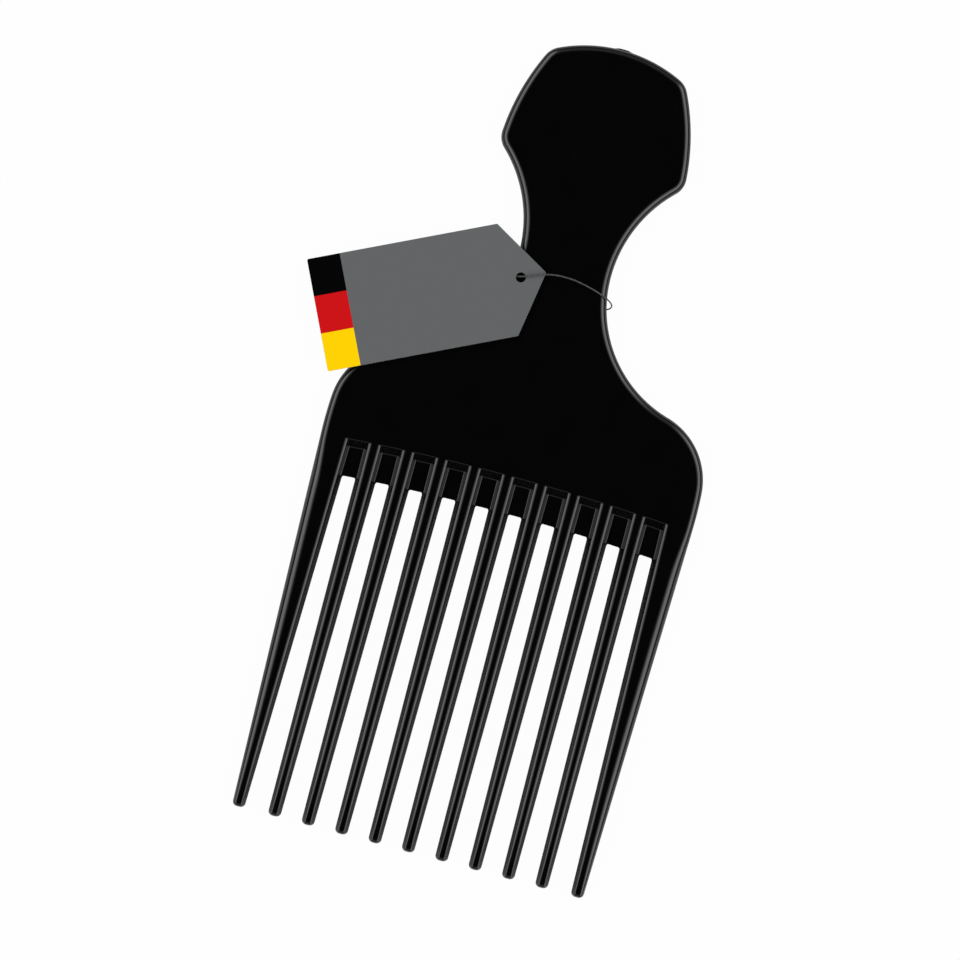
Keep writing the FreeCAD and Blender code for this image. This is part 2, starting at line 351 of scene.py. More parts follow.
def meeting_point(centre_a, distance_a, centre_b, distance_b):
    """Point to the right of two centres, at the given distance from each."""
    across = centre_b - centre_a
    apart = across.length
    along = (distance_a**2 - distance_b**2 + apart**2) / (2 * apart)
    aside = math.sqrt(distance_a**2 - along**2)
    foot = centre_a + across * (along / apart)
    normal = Vector((-across.y, across.x)) * (aside / apart)
    return max((foot + normal, foot - normal), key=lambda p: p.x)


def outline_arcs(blade, tooth):
    """Right-hand half of the outline, from the crown down: (centre, radius), with hollow arcs negative."""
    neck_y = blade.top_y - blade.neck_drop
    crown = Vector((0, blade.top_y - blade.crown_radius))
    side_x = blade.head_width / 2 - blade.head_side_radius
    head_side = Vector((side_x, blade.top_y - blade.head_widest_drop))
    neck_upper = Vector((blade.neck_width / 2 + blade.neck_upper_radius, neck_y))
    neck_lower = Vector((blade.neck_width / 2 + blade.neck_lower_radius, neck_y))
    outward = Vector((math.cos(tooth.outer_lean), -math.sin(tooth.outer_lean)))
    side = Vector((blade.root_span / 2, blade.root_y)) - outward * blade.side_radius
    top, low = blade.top_corner_radius, blade.low_corner_radius
    side_radius = blade.head_side_radius
    top_corner = meeting_point(crown, blade.crown_radius - top, head_side, side_radius - top)
    low_corner = meeting_point(head_side, side_radius - low, neck_upper, blade.neck_upper_radius + low)
    turn = blade.shoulder_radius
    shoulder = meeting_point(neck_lower, blade.neck_lower_radius + turn, side, blade.side_radius - turn)
    return [
        (crown, blade.crown_radius),
        (top_corner, top),
        (head_side, side_radius),
        (low_corner, low),
        (neck_upper, -blade.neck_upper_radius),
        (neck_lower, -blade.neck_lower_radius),
        (shoulder, turn),
        (side, blade.side_radius),
    ]


def outline_points(arcs, end_y, step):
    """(point, outward normal) pairs along the arcs, from the crown to the height where the teeth begin."""
    side, side_radius = arcs[-1]
    dip = (end_y - side.y) / side_radius
    normals = [Vector((0, 1))]
    for (centre_a, radius_a), (centre_b, radius_b) in zip(arcs, arcs[1:]):
        normals.append((centre_b - centre_a) / (radius_a - radius_b))
    normals.append(Vector((math.sqrt(1 - dip**2), dip)))
    points = []
    for (centre, radius), first, last in zip(arcs, normals, normals[1:]):
        turn = first.angle_signed(last)
        count = max(FEWEST_ARC_STEPS, math.ceil(abs(turn * radius) / step))
        for index in range(count):
            normal = Matrix.Rotation(-turn * index / count, 2) @ first
            points.append((centre + normal * radius, normal))
    points.append((side + normals[-1] * side_radius, normals[-1]))
    return points


# Teeth and pockets

FLANK_COLUMNS = 2
FILLET_COLUMNS = 5
FLOOR_COLUMNS = 3
POCKET_FAR_ROWS = 4
POCKET_NEAR_SHARE = 0.28
WALL_ROUNDING = 24
TIP_STEPS = 6
EDGE_FADE = 8
OUTER_EDGE_SWELL = 1.38
OUTER_EDGE_TIP = 0.32
OUTER_EDGE_FADE = 4
OUTER_EDGE_BLEND = 0.13


class ToothPlan:
    """Sizes of the tooth row at a height: how far along a tooth it is, and what the tooth measures there."""

    def __init__(self, blade, tooth):
        self.blade = blade
        self.tooth = tooth
        self.tip_y = tooth_low.y
        self.straight_end_y = self.tip_y + tooth.tip_round
        self.junction_y = tooth.web_edge_y - tooth.web_corner
        self.outer_inner_x = blade.root_span / 2 - tooth.outer_root_width
        self.outer_shift = self.arch(self.outer_inner_x)

    def arch(self, x):
        """How far the row of pockets has dropped at a distance x from the middle."""
        return self.tooth.arch_radius - math.sqrt(self.tooth.arch_radius**2 - x**2)

    def along(self, y):
        """Share of the way from the root of a tooth to its tip."""
        return max(0.0, (self.tooth.pocket_y - y) / (self.tooth.pocket_y - self.straight_end_y))

    def arch_share(self, y):
        """The arch bends the pockets fully, and fades out along the teeth."""
        return min(1.0, (y - self.tip_y) / (self.junction_y - self.tip_y))

    def half_thickness(self, y):
        return lerp(face_z - middle_z, self.tooth.tip_thickness / 2, self.along(y))

    def inner_half_width(self, y):
        return lerp(self.tooth.root_width, self.tooth.tip_width, self.along(y)) / 2

    def flank(self, y):
        radius_share = lerp(1.0, self.tooth.tip_edge, self.along(y) ** EDGE_FADE)
        return scaled_edge(self.tooth, self.half_thickness(y), radius_share, self.tooth.lean)

    def outer_flank(self, y):
        """Outer edge of an outer tooth: it swells below the shoulder and dwindles to the tip."""
        t = self.along(y)
        below_shoulder = smooth(t / OUTER_EDGE_BLEND)
        swell = lerp(1.0, OUTER_EDGE_SWELL, below_shoulder)
        radius_share = swell * lerp(1.0, OUTER_EDGE_TIP, t**OUTER_EDGE_FADE)
        lean = lerp(self.blade.lean, self.tooth.outer_flank_lean, below_shoulder)
        return scaled_edge(self.blade, self.half_thickness(y), radius_share, lean)

    def outer_outer_x(self, y):
        return self.blade.root_span / 2 - (self.blade.root_y - y) * math.tan(self.tooth.outer_lean)

    def outer_side_x(self, y):
        """Inner side of an outer tooth at its parting line."""
        tip_x = self.outer_outer_x(self.straight_end_y) - self.tooth.outer_tip_width
        return lerp(self.outer_inner_x, tip_x, self.along(y))

    def pocket_rows(self):
        """Distances below the upper edge of a pocket, close together at its upper wall."""
        depth = self.tooth.pocket_y - self.tooth.web_edge_y
        near = round(POCKET_NEAR_SHARE * depth / self.tooth.pocket_step)
        rows = [-HOLD] + [step * self.tooth.pocket_step for step in range(near + 1)]
        rest = depth - rows[-1]
        return rows + [rows[-1] + rest * step / (POCKET_FAR_ROWS + 1) for step in range(1, POCKET_FAR_ROWS + 1)]

    def tooth_rows(self):
        """Heights along a tooth, from the edge of the web to where the tip begins to round."""
        span = self.junction_y - self.straight_end_y
        count = math.ceil(span / self.tooth.row_step)
        return [self.junction_y - span * step / count for step in range(count + 1)]

    def upper_wall(self, below):
        """Depth of the upper wall of a pocket at a distance below its edge."""
        lip, slope = self.tooth.pocket_lip, self.tooth.pocket_slope
        lip_end = lip * math.sin(slope)
        if below <= lip_end:
            return lip - math.sqrt(lip**2 - max(0.0, below) ** 2)
        return lip * (1 - math.cos(slope)) + (below - lip_end) * math.tan(slope)

    def web_dip(self, distance):
        """How far the rounded corner of a web reaches down, at a distance from the tooth."""
        radius = self.tooth.web_corner
        return radius - math.sqrt(radius**2 - max(0.0, radius - distance) ** 2)


def shallower(first, second, rounding):
    """The lesser of two depths, with the corner between them rounded."""
    if min(first, second) <= 0:
        return 0.0
    return (first**-rounding + second**-rounding) ** (-1 / rounding)


def pocket_side(plan, y, below, side_x, border_x):
    """Points from the face of a tooth down its flank and over the web to the middle of a pocket."""
    half = plan.half_thickness(y)
    floor_depth = half - plan.tooth.web_thickness / 2
    wall = plan.upper_wall(below)
    into_pocket = math.copysign(1.0, border_x - side_x)
    points = []
    for inset, height in reversed(plan.flank(y)[JUNCTION:]):
        z = half - shallower(half - height, wall, WALL_ROUNDING)
        points.append(Vector((side_x - into_pocket * inset, y, middle_z + z)))
    radius, turn = plan.tooth.pocket_fillet, math.pi / 2 - plan.tooth.lean
    start_depth = half - plan.flank(y)[JUNCTION][1]
    end_out = (floor_depth - start_depth) * math.tan(plan.tooth.lean) + radius * math.tan(turn / 2)
    arc = [turn * (1 - column / FILLET_COLUMNS) for column in range(FILLET_COLUMNS + 1)]
    places = [(end_out - radius * math.sin(tilt), floor_depth - radius * (1 - math.cos(tilt))) for tilt in arc]
    arc_out, arc_depth = places[0]
    shares = [column / FLANK_COLUMNS for column in range(1, FLANK_COLUMNS)]
    places = [(arc_out * t, lerp(start_depth, arc_depth, t)) for t in shares] + places
    start_x = points[-1].x
    floor_out = abs(border_x - start_x) - end_out
    for column in range(1, FLOOR_COLUMNS + 1):
        places.append((end_out + floor_out * column / FLOOR_COLUMNS, floor_depth))
    for out, depth in places:
        z = half - shallower(depth, wall, WALL_ROUNDING)
        points.append(Vector((start_x + into_pocket * out, y, middle_z + z)))
    return points


def web_rows(plan, top_row, side_x):
    """The lower end of a web, from its upper edge down to the parting line, rounded into the tooth."""
    flank = plan.flank(plan.junction_y)
    start, border = top_row[0], top_row[-1]
    into_pocket = math.copysign(1.0, border.x - side_x)
    rows = []
    for inset, height in reversed(flank[: JUNCTION + 1]):
        flank_x = side_x - into_pocket * inset
        row = []
        for point in top_row:
            x = lerp(flank_x, border.x, (point.x - start.x) / (border.x - start.x))
            y = plan.tooth.web_edge_y - plan.web_dip(abs(x - flank_x))
            z = (point.z - middle_z) * height / flank[JUNCTION][1]
            row.append(Vector((x, y, middle_z + z)))
        rows.append(row)
    return rows


def pocket_end(plan, side_x, border_x):
    """The tooth's part of the row where a web ends, and the rows of that end of the web."""
    y = plan.junction_y
    row = pocket_side(plan, y, plan.tooth.pocket_y - y, side_x, border_x)
    return row[: FLANK_POINTS - 1], web_rows(plan, row[FLANK_POINTS - 1 :], side_x)


def tip_rail(side_x, end_y, radius, outward):
    """(point, normal, share) along the rounded corner of a tip, from the flank to its lowest point."""
    rail = []
    for step in range(TIP_STEPS + 1):
        turn = math.pi / 2 * step / TIP_STEPS
        normal = Vector((outward * math.cos(turn), -math.sin(turn)))
        centre = Vector((side_x - outward * radius, end_y))
        rail.append((centre + normal * radius, normal, step / TIP_STEPS))
    return rail


def inner_tooth_cell(plan):
    """Upper right quarter of an inner tooth with half a pocket beside it, mirrored into a whole one."""
    tooth = plan.tooth
    bm = bmesh.new()
    border_x = tooth.root_pitch / 2
    rows = []
    for below in plan.pocket_rows():
        y = tooth.pocket_y - below
        row = pocket_side(plan, y, below, plan.inner_half_width(y), border_x)
        rows.append([Vector((0, y, row[0].z))] + row)
    last, web = pocket_end(plan, plan.inner_half_width(plan.junction_y), border_x)
    rows.append([Vector((0, plan.junction_y, last[0].z))] + last + web[0])
    add_grid(bm, rows)
    add_grid(bm, web)
    rows = []
    for y in plan.tooth_rows():
        row = edge_row((plan.inner_half_width(y), y), (1, 0), plan.flank(y))
        rows.append(row + [Vector((0, y, row[-1].z))])
    add_grid(bm, rows)
    flank = plan.flank(plan.straight_end_y)
    nose = nose_edge(flank)
    rail = tip_rail(tooth.tip_width / 2, plan.straight_end_y, tooth.tip_round, 1)
    rows = [edge_row(point, normal, mixed_edge(flank, nose, smooth(t))) for point, normal, t in rail]
    rows.append(edge_row((0, plan.tip_y), (0, -1), nose))
    add_grid(bm, rows)
    add_cap(bm, [Vector((0, plan.straight_end_y, rows[0][-1].z))] + [row[-1] for row in rows])
    weld(bm)
    add_mirrored(bm, 0, 0.0)
    add_mirrored(bm, 2, middle_z)
    weld(bm)
    return bm


def outer_tooth(plan, bm, top_rim):
    """Upper half of the right outer tooth, with half a pocket. Its top row meets the rim of the blade."""
    tooth = plan.tooth
    border_x = tooth.root_pitch * (tooth.count / 2)

    def lowered(row):
        return [Vector((p.x, p.y - plan.outer_shift * plan.arch_share(p.y), p.z)) for p in row]

    def arched(row):
        return [Vector((p.x, p.y - plan.arch(p.x) * plan.arch_share(p.y), p.z)) for p in row]

    def outer_row(y):
        final_y = y - plan.outer_shift * plan.arch_share(y)
        return edge_row((plan.outer_outer_x(final_y), y), (1, 0), plan.outer_flank(y))

    rows = []
    for below in plan.pocket_rows():
        y = tooth.pocket_y - below
        row = pocket_side(plan, y, below, plan.outer_side_x(y), border_x)
        inner = arched(row[FLANK_POINTS:])[::-1] + lowered(row[:FLANK_POINTS])[::-1]
        rows.append(inner + (lowered(outer_row(y))[::-1] if rows else top_rim[::-1]))
    last, web = pocket_end(plan, plan.outer_side_x(plan.junction_y), border_x)
    web = [lowered(row[:1]) + arched(row[1:]) for row in web]
    inner = web[0][::-1] + lowered(last)[::-1]
    rows.append(inner + lowered(outer_row(plan.junction_y))[::-1])
    add_grid(bm, rows)
    add_grid(bm, web)
    rows = []
    for y in plan.tooth_rows():
        inner = edge_row((plan.outer_side_x(y), y), (-1, 0), plan.flank(y))
        rows.append(lowered(inner) + lowered(outer_row(y))[::-1])
    add_grid(bm, rows)
    end_y = plan.straight_end_y
    inner_flank, outer_flank = plan.flank(end_y), plan.outer_flank(end_y)
    rows = []
    for flank, x, outward in (
        (inner_flank, plan.outer_side_x(end_y), -1),
        (outer_flank, plan.outer_outer_x(end_y - plan.outer_shift * plan.arch_share(end_y)), 1),
    ):
        nose = mixed_edge(nose_edge(inner_flank), nose_edge(outer_flank), 0.5)
        rail = tip_rail(x, end_y, tooth.tip_round, outward)
        part = [edge_row(point, normal, mixed_edge(flank, nose, smooth(t))) for point, normal, t in rail]
        rows += [lowered(row) for row in (part if outward < 0 else part[::-1])]
    add_grid(bm, rows)
    add_cap(bm, [row[-1] for row in rows])


def raise_gate_mark(bm, blade):
    """Pushes the edge out at the top of the head, where the plastic ran into the mould."""
    centre = Vector((0, blade.top_y - blade.crown_radius))
    half = blade.gate_width / 2
    for vert in bm.verts:
        spoke = vert.co.xy - centre
        near_edge = spoke.length > blade.crown_radius - blade.gate_thickness / 2 * math.tan(blade.lean) - WELD
        if near_edge and abs(vert.co.z - middle_z) <= blade.gate_thickness / 2 + WELD and spoke.y > 0:
            away = abs(vert.co.x - blade.gate_offset) - half
            vert.co.xy += spoke.normalized() * blade.gate_height * smooth(-away / blade.gate_slope)


# Nodes


def add(tree, kind, inputs=None, **values):
    """Adds a node with its settings. An input is a value, or a socket to link."""
    node = tree.nodes.new(kind)
    for name, value in values.items():
        setattr(node, name, value)
    for socket, value in (inputs or {}).items():
        if isinstance(value, bpy.types.NodeSocket):
            tree.links.new(value, node.inputs[socket])
        else:
            node.inputs[socket].default_value = value
    return node


def maths(tree, operation, *values):
    """Result of an operation on one or two numbers."""
    return add(tree, "ShaderNodeMath", dict(enumerate(values)), operation=operation).outputs[0]


def ranged(tree, value, start, end, to_start=0.0, to_end=1.0, kind="LINEAR"):
    """A number moved from one range to another, and held inside it."""
    inputs = {"Value": value, "From Min": start, "From Max": end, "To Min": to_start, "To Max": to_end}
    return add(tree, "ShaderNodeMapRange", inputs, interpolation_type=kind).outputs["Result"]


def separated(tree, vector):
    """Sockets of the three parts of a vector."""
    return add(tree, "ShaderNodeSeparateXYZ", {"Vector": vector}).outputs


def combined(tree, **parts):
    return add(tree, "ShaderNodeCombineXYZ", parts).outputs["Vector"]


def noise(tree, place, width, detail):
    """Noise with features about as wide as width."""
    inputs = {"Vector": place, "Scale": 1 / width, "Detail": detail}
    return add(tree, "ShaderNodeTexNoise", inputs).outputs["Fac"]


def bumped(tree, height, strength, depth):
    inputs = {"Height": height, "Strength": strength, "Distance": depth}
    return add(tree, "ShaderNodeBump", inputs).outputs["Normal"]


def rgba(tone, level=1.0):
    return (*(level * part for part in tone), 1.0)


def blend(tree, factor, first, second):
    """A colour between two colours."""
    inputs = {"Factor": factor, "A": first, "B": second}
    return add(tree, "ShaderNodeMix", inputs, data_type="RGBA").outputs["Result"]


def emptied_tree(owner):
    """Node tree of a material or a world, with nothing in it."""
    owner.use_nodes = True
    owner.node_tree.nodes.clear()
    return owner.node_tree


def new_material(name):
    """A material, its tree, and the Object coordinates in the tree."""
    material = bpy.data.materials.new(name)
    tree = emptied_tree(material)
    return material, tree, add(tree, "ShaderNodeTexCoord").outputs["Object"]


def add_surface(tree, inputs):
    shader = add(tree, "ShaderNodeBsdfPrincipled", inputs)
    add(tree, "ShaderNodeOutputMaterial", {"Surface": shader.outputs["BSDF"]})


# Materials


def moulded_polystyrene():
    """Black polystyrene, injection moulded in a polished tool: deep and glossy, with a slight waviness."""
    plastic = settings("finishes").plastic
    material, tree, place = new_material("moulded_polystyrene")
    haze_width, haze_range, haze_dark = 6.0 * MM, (0.3, 0.7), 0.8
    ripple_width, ripple_depth, ripple_strength = 1.1 * MM, 0.004 * MM, 0.07
    glossiest, haziest = 0.13, 0.17
    haze = noise(tree, place, haze_width, detail=4.0)
    ripple = noise(tree, place, ripple_width, detail=2.0)
    inputs = {
        "Base Color": blend(tree, haze, rgba(plastic), rgba(plastic, haze_dark)),
        "Roughness": ranged(tree, haze, *haze_range, glossiest, haziest),
        "Normal": bumped(tree, ripple, ripple_strength, ripple_depth),
        "IOR": 1.59,
    }
    add_surface(tree, inputs)
    return material


def stripes(tree, height):
    """Three stripes of the same width, over heights from 0 to 1."""
    finish = settings("finishes")
    node = add(tree, "ShaderNodeValToRGB", {"Fac": height})
    ramp = node.color_ramp
    ramp.interpolation = "CONSTANT"
    starts = (0.0, 1 / 3, 2 / 3)
    ramp.elements.new(starts[-1])
    tones = (finish.stripe_bottom, finish.stripe_middle, finish.stripe_top)
    for element, start, tone in zip(ramp.elements, starts, tones):
        element.position = start
        element.color = rgba(tone)
    return node.outputs["Color"]


def printed_card(hole, turn):
    """Coated card, printed grey with a block of three stripes. Its cut edges show the pale core."""
    finish, tag = settings("finishes"), settings("tag")
    material, tree, place = new_material("printed_card")
    fibre_width, fibre_depth, fibre_strength, fibre_tint = 0.35 * MM, 0.006 * MM, 0.3, 0.04
    face_tilt, edge_tilt = 0.5, 0.35
    turned = {"Vector": place, "Location": hole, "Rotation": (0, 0, turn)}
    flat = add(tree, "ShaderNodeMapping", turned, vector_type="TEXTURE")
    along = separated(tree, flat.outputs["Vector"])
    half = tag.width / 2
    block = stripes(tree, ranged(tree, along["Y"], -half, half))
    block_edge = tag.hole_to_tip - tag.length + tag.block
    in_block = maths(tree, "LESS_THAN", along["X"], block_edge)
    facing = separated(tree, add(tree, "ShaderNodeNewGeometry").outputs["Normal"])["Z"]
    on_face = maths(tree, "GREATER_THAN", facing, face_tilt)
    on_edge = maths(tree, "LESS_THAN", maths(tree, "ABSOLUTE", facing), edge_tilt)
    fibre = noise(tree, place, fibre_width, detail=3.0)
    grey = blend(tree, fibre, rgba(finish.card, 1 - fibre_tint), rgba(finish.card, 1 + fibre_tint))
    printed = blend(tree, maths(tree, "MULTIPLY", in_block, on_face), grey, block)
    inputs = {
        "Base Color": blend(tree, on_edge, printed, rgba(finish.core)),
        "Normal": bumped(tree, fibre, fibre_strength, fibre_depth),
        "Roughness": 0.55,
        "Specular IOR Level": 0.03,
    }
    add_surface(tree, inputs)
    return material


def twisted_thread():
    """Dark polyester sewing thread. Its twist is drawn a little coarser than it is, so that it shows, and its
    colour carries painted shade in the grooves of the twist and a painted highlight on its crests.
    """
    thread = settings("finishes").thread
    material, tree, place = new_material("twisted_thread")
    ply_width, ply_depth, ply_strength = 0.35 * MM, 0.02 * MM, 0.4
    # Painted shade and painted highlight: the colour darkens in the grooves of the twist and lightens on its
    # crests.
    ply_groove_shade, ply_crest_highlight = 0.7, 1.25
    bands = {"Vector": place, "Scale": 1 / ply_width / math.tau, "Distortion": 1.5, "Detail": 1.0}
    ply = add(tree, "ShaderNodeTexWave", bands, bands_direction="DIAGONAL").outputs["Fac"]
    inputs = {
        "Base Color": blend(tree, ply, rgba(thread, ply_groove_shade), rgba(thread, ply_crest_highlight)),
        "Normal": bumped(tree, ply, ply_strength, ply_depth),
        "Roughness": 0.6,
        "Sheen Weight": 0.3,
    }
    add_surface(tree, inputs)
    return material


# Tooth row


def tooth_row_tree(material):
    """Geometry nodes that repeat a tooth along a line, fan the row out, arch it and weld it."""
    tree = bpy.data.node_groups.new("tooth_row", "GeometryNodeTree")
    face = tree.interface
    face.new_socket("Tooth", in_out="INPUT", socket_type="NodeSocketGeometry")
    face.new_socket("Count", in_out="INPUT", socket_type="NodeSocketInt")
    for label in ("Pitch", "Fan share", "Arch radius", "Tip height", "Web height"):
        face.new_socket(label, in_out="INPUT", socket_type="NodeSocketFloat")
    face.new_socket("Row", in_out="OUTPUT", socket_type="NodeSocketGeometry")
    given = add(tree, "NodeGroupInput").outputs
    span = maths(tree, "MULTIPLY", maths(tree, "SUBTRACT", given["Count"], 1.0), given["Pitch"])
    points = {
        "Count": given["Count"],
        "Start Location": combined(tree, X=maths(tree, "MULTIPLY", span, -0.5)),
        "Offset": combined(tree, X=given["Pitch"]),
    }
    line = add(tree, "GeometryNodeMeshLine", points).outputs["Mesh"]
    teeth = add(tree, "GeometryNodeInstanceOnPoints", {"Points": line, "Instance": given["Tooth"]})
    row = add(tree, "GeometryNodeRealizeInstances", {"Geometry": teeth.outputs["Instances"]})
    place = separated(tree, add(tree, "GeometryNodeInputPosition").outputs[0])
    arched = ranged(tree, place["Y"], given["Tip height"], given["Web height"])
    spread = maths(tree, "MULTIPLY", maths(tree, "SUBTRACT", 1.0, arched), given["Fan share"])
    radius_squared = maths(tree, "POWER", given["Arch radius"], 2.0)
    x_squared = maths(tree, "MULTIPLY", place["X"], place["X"])
    height = maths(tree, "SQRT", maths(tree, "SUBTRACT", radius_squared, x_squared))
    rise = maths(tree, "SUBTRACT", height, given["Arch radius"])
    move_x = maths(tree, "MULTIPLY", spread, place["X"])
    move = combined(tree, X=move_x, Y=maths(tree, "MULTIPLY", rise, arched))
    shape = row.outputs["Geometry"]
    for kind, inputs in (
        ("SetPosition", {"Offset": move}),
        ("MergeByDistance", {"Distance": WELD}),
        ("SetMaterial", {"Material": material}),
    ):
        shape = add(tree, "GeometryNode" + kind, {"Geometry": shape, **inputs}).outputs["Geometry"]
    add(tree, "NodeGroupOutput", {"Row": shape})
    return tree


class AFROPICK_OT_tooth_row(bpy.types.Operator):
    """Moulds one inner tooth and repeats it along the arched row"""

    bl_idname = "afro_pick.tooth_row"
    bl_label = "Tooth row"

    def execute(self, context):
        tooth = settings("teeth")
        plan = ToothPlan(settings("blade"), tooth)
        material = moulded_polystyrene()
        cell = mesh_from(inner_tooth_cell(plan), "tooth_cell")
        maker = link_piece("tooth_row", cell, material)
        modifier = maker.modifiers.new("tooth_row", "NODES")
        modifier.node_group = tooth_row_tree(material)
        values = {
            "Count": tooth.count,
            "Pitch": tooth.root_pitch,
            "Fan share": tooth.fan / tooth.root_pitch,
            "Arch radius": tooth.arch_radius,
            "Tip height": plan.tip_y,
            "Web height": plan.junction_y,
        }
        for item in modifier.node_group.interface.items_tree:
            if item.name in values:
                modifier[item.identifier] = values[item.name]
        made = maker.evaluated_get(context.evaluated_depsgraph_get())
        row = bpy.data.meshes.new_from_object(made)
        row.name = "tooth_row_made"
        bpy.data.objects.remove(maker)
        return {"FINISHED"}


class AFROPICK_OT_comb(bpy.types.Operator):
    """Moulds head, neck, shoulder and outer teeth, and joins the tooth row to them as one piece"""

    bl_idname = "afro_pick.comb"
    bl_label = "Comb"

    def execute(self, context):
        blade = settings("blade")
        plan = ToothPlan(blade, settings("teeth"))
        bm = bmesh.new()
        arcs = outline_arcs(blade, plan.tooth)
        profile = scaled_edge(blade, face_z - middle_z, 1.0, blade.lean)
        end_y = plan.tooth.pocket_y + HOLD - plan.outer_shift
        rim = [edge_row(p, n, profile) for p, n in outline_points(arcs, end_y, blade.step)]
        add_grid(bm, rim)
        outer_tooth(plan, bm, rim[-1])
        weld(bm)
        add_mirrored(bm, 0, 0.0)
        add_mirrored(bm, 2, middle_z)
        weld(bm)
        raise_gate_mark(bm, blade)
        row = bpy.data.meshes["tooth_row_made"]
        bm.from_mesh(row)
        weld(bm)
        fill_rims(bm, (face_z, back_z))
        open_edges = sum(1 for edge in bm.edges if len(edge.link_faces) != 2)
        if open_edges:
            raise RuntimeError(f"the comb has {open_edges} open edges")
        mesh = finished_mesh(bm, "comb")
        comb = link_piece("comb", mesh, row.materials[0])
        bpy.data.meshes.remove(row)
        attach(comb, "comb")
        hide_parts("handle", "shoulder", *TEETH)
        return {"FINISHED"}


# Swing tag

HOLE_SIDES = 48
CORNER_STEPS = 4


def rounded_outline(corners, radius, inset):
    """Points of a convex outline, drawn in by inset, with rounded corners."""
    points = []
    for before, corner, after in zip(corners[-1:] + corners[:-1], corners, corners[1:] + corners[:1]):
        back, ahead = (before - corner).normalized(), (after - corner).normalized()
        half = back.angle(ahead) / 2
        centre = corner + (back + ahead).normalized() * radius / math.sin(half)
        first = (corner + back * radius / math.tan(half)) - centre
        turn = first.angle_signed((corner + ahead * radius / math.tan(half)) - centre)
        for step in range(CORNER_STEPS + 1):
            spoke = Matrix.Rotation(-turn * step / CORNER_STEPS, 2) @ first
            points.append(centre + spoke * (1 - inset / radius))
    return points


class AFROPICK_OT_swing_tag(bpy.types.Operator):
    """Cuts the swing tag, with its point, its punched hole and softened edges"""

    bl_idname = "afro_pick.swing_tag"
    bl_label = "Swing tag"

    def execute(self, context):
        tag = settings("tag")
        low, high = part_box("swing_tag")
        hole = Vector(frame["joints"][0]["pos_m"])
        base_x, slope_x = tag.hole_to_tip - tag.length, tag.hole_to_tip - tag.point_length
        half = tag.width / 2
        corners = [
            Vector((tag.hole_to_tip, 0)),
            Vector((slope_x, half)),
            Vector((base_x, half)),
            Vector((base_x, -half)),
            Vector((slope_x, -half)),
        ]
        bm = bmesh.new()
        levels = [(low.z, tag.edge), (low.z + tag.edge, 0), (high.z - tag.edge, 0), (high.z, tag.edge)]
        loops = []
        for z, inset in levels:
            outer = [(p.x, p.y, z) for p in rounded_outline(corners, tag.corner, inset)]
            radius = tag.hole_radius + inset
            turns = [math.tau * side / HOLE_SIDES for side in range(HOLE_SIDES)]
            inner = [(radius * math.cos(t), radius * math.sin(t), z) for t in turns]
            loops.append((outer, inner))
        for kind in (0, 1):
            add_grid(bm, [pair[kind] + pair[kind][:1] for pair in loops])
        weld(bm)
        fill_rims(bm, (low.z, high.z))
        turned = Matrix.Translation((hole.x, hole.y, 0)) @ Matrix.Rotation(tag.turn, 4, "Z")
        bmesh.ops.transform(bm, matrix=turned, verts=bm.verts[:])
        mesh = finished_mesh(bm, "swing_tag_card")
        card = link_piece("swing_tag_card", mesh, printed_card(hole, tag.turn))
        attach(card, "tag")
        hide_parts("swing_tag")
        return {"FINISHED"}


# Thread

# Route of the thread, from the top of its knot: up round the neck, through the tag's hole, over its tip,
# across the face, round the other edge, under the back and up to the knot again.
THREAD_ROUTE = [
    (-11.30, 34.20, 3.20),
    (-11.30, 34.20, 4.05),
    (-10.75, 34.30, 4.90),
    (-9.75, 34.42, 5.09),
    (-8.80, 34.55, 5.11),
    (-7.35, 34.86, 6.18),
    (-5.40, 35.65, 6.26),
    (-2.30, 36.75, 6.25),
    (1.80, 36.95, 5.95),
    (5.40, 36.35, 5.56),
    (8.15, 35.60, 5.27),
    (9.95, 34.95, 5.00),
    (11.08, 34.30, 4.15),
    (11.50, 33.85, 2.95),
    (11.38, 33.40, 1.65),
    (10.85, 33.02, 0.56),
    (9.75, 32.80, 0.15),
    (7.30, 32.64, 0.15),
    (2.80, 32.62, 0.15),
    (-2.80, 32.90, 0.15),
    (-7.30, 33.40, 0.15),
    (-9.75, 33.80, 0.15),
    (-10.85, 34.05, 0.52),
    (-11.30, 34.20, 1.18),
    (-11.30, 34.20, 2.00),
]
KNOT_ROWS = 40
KNOT_SIDES = 32


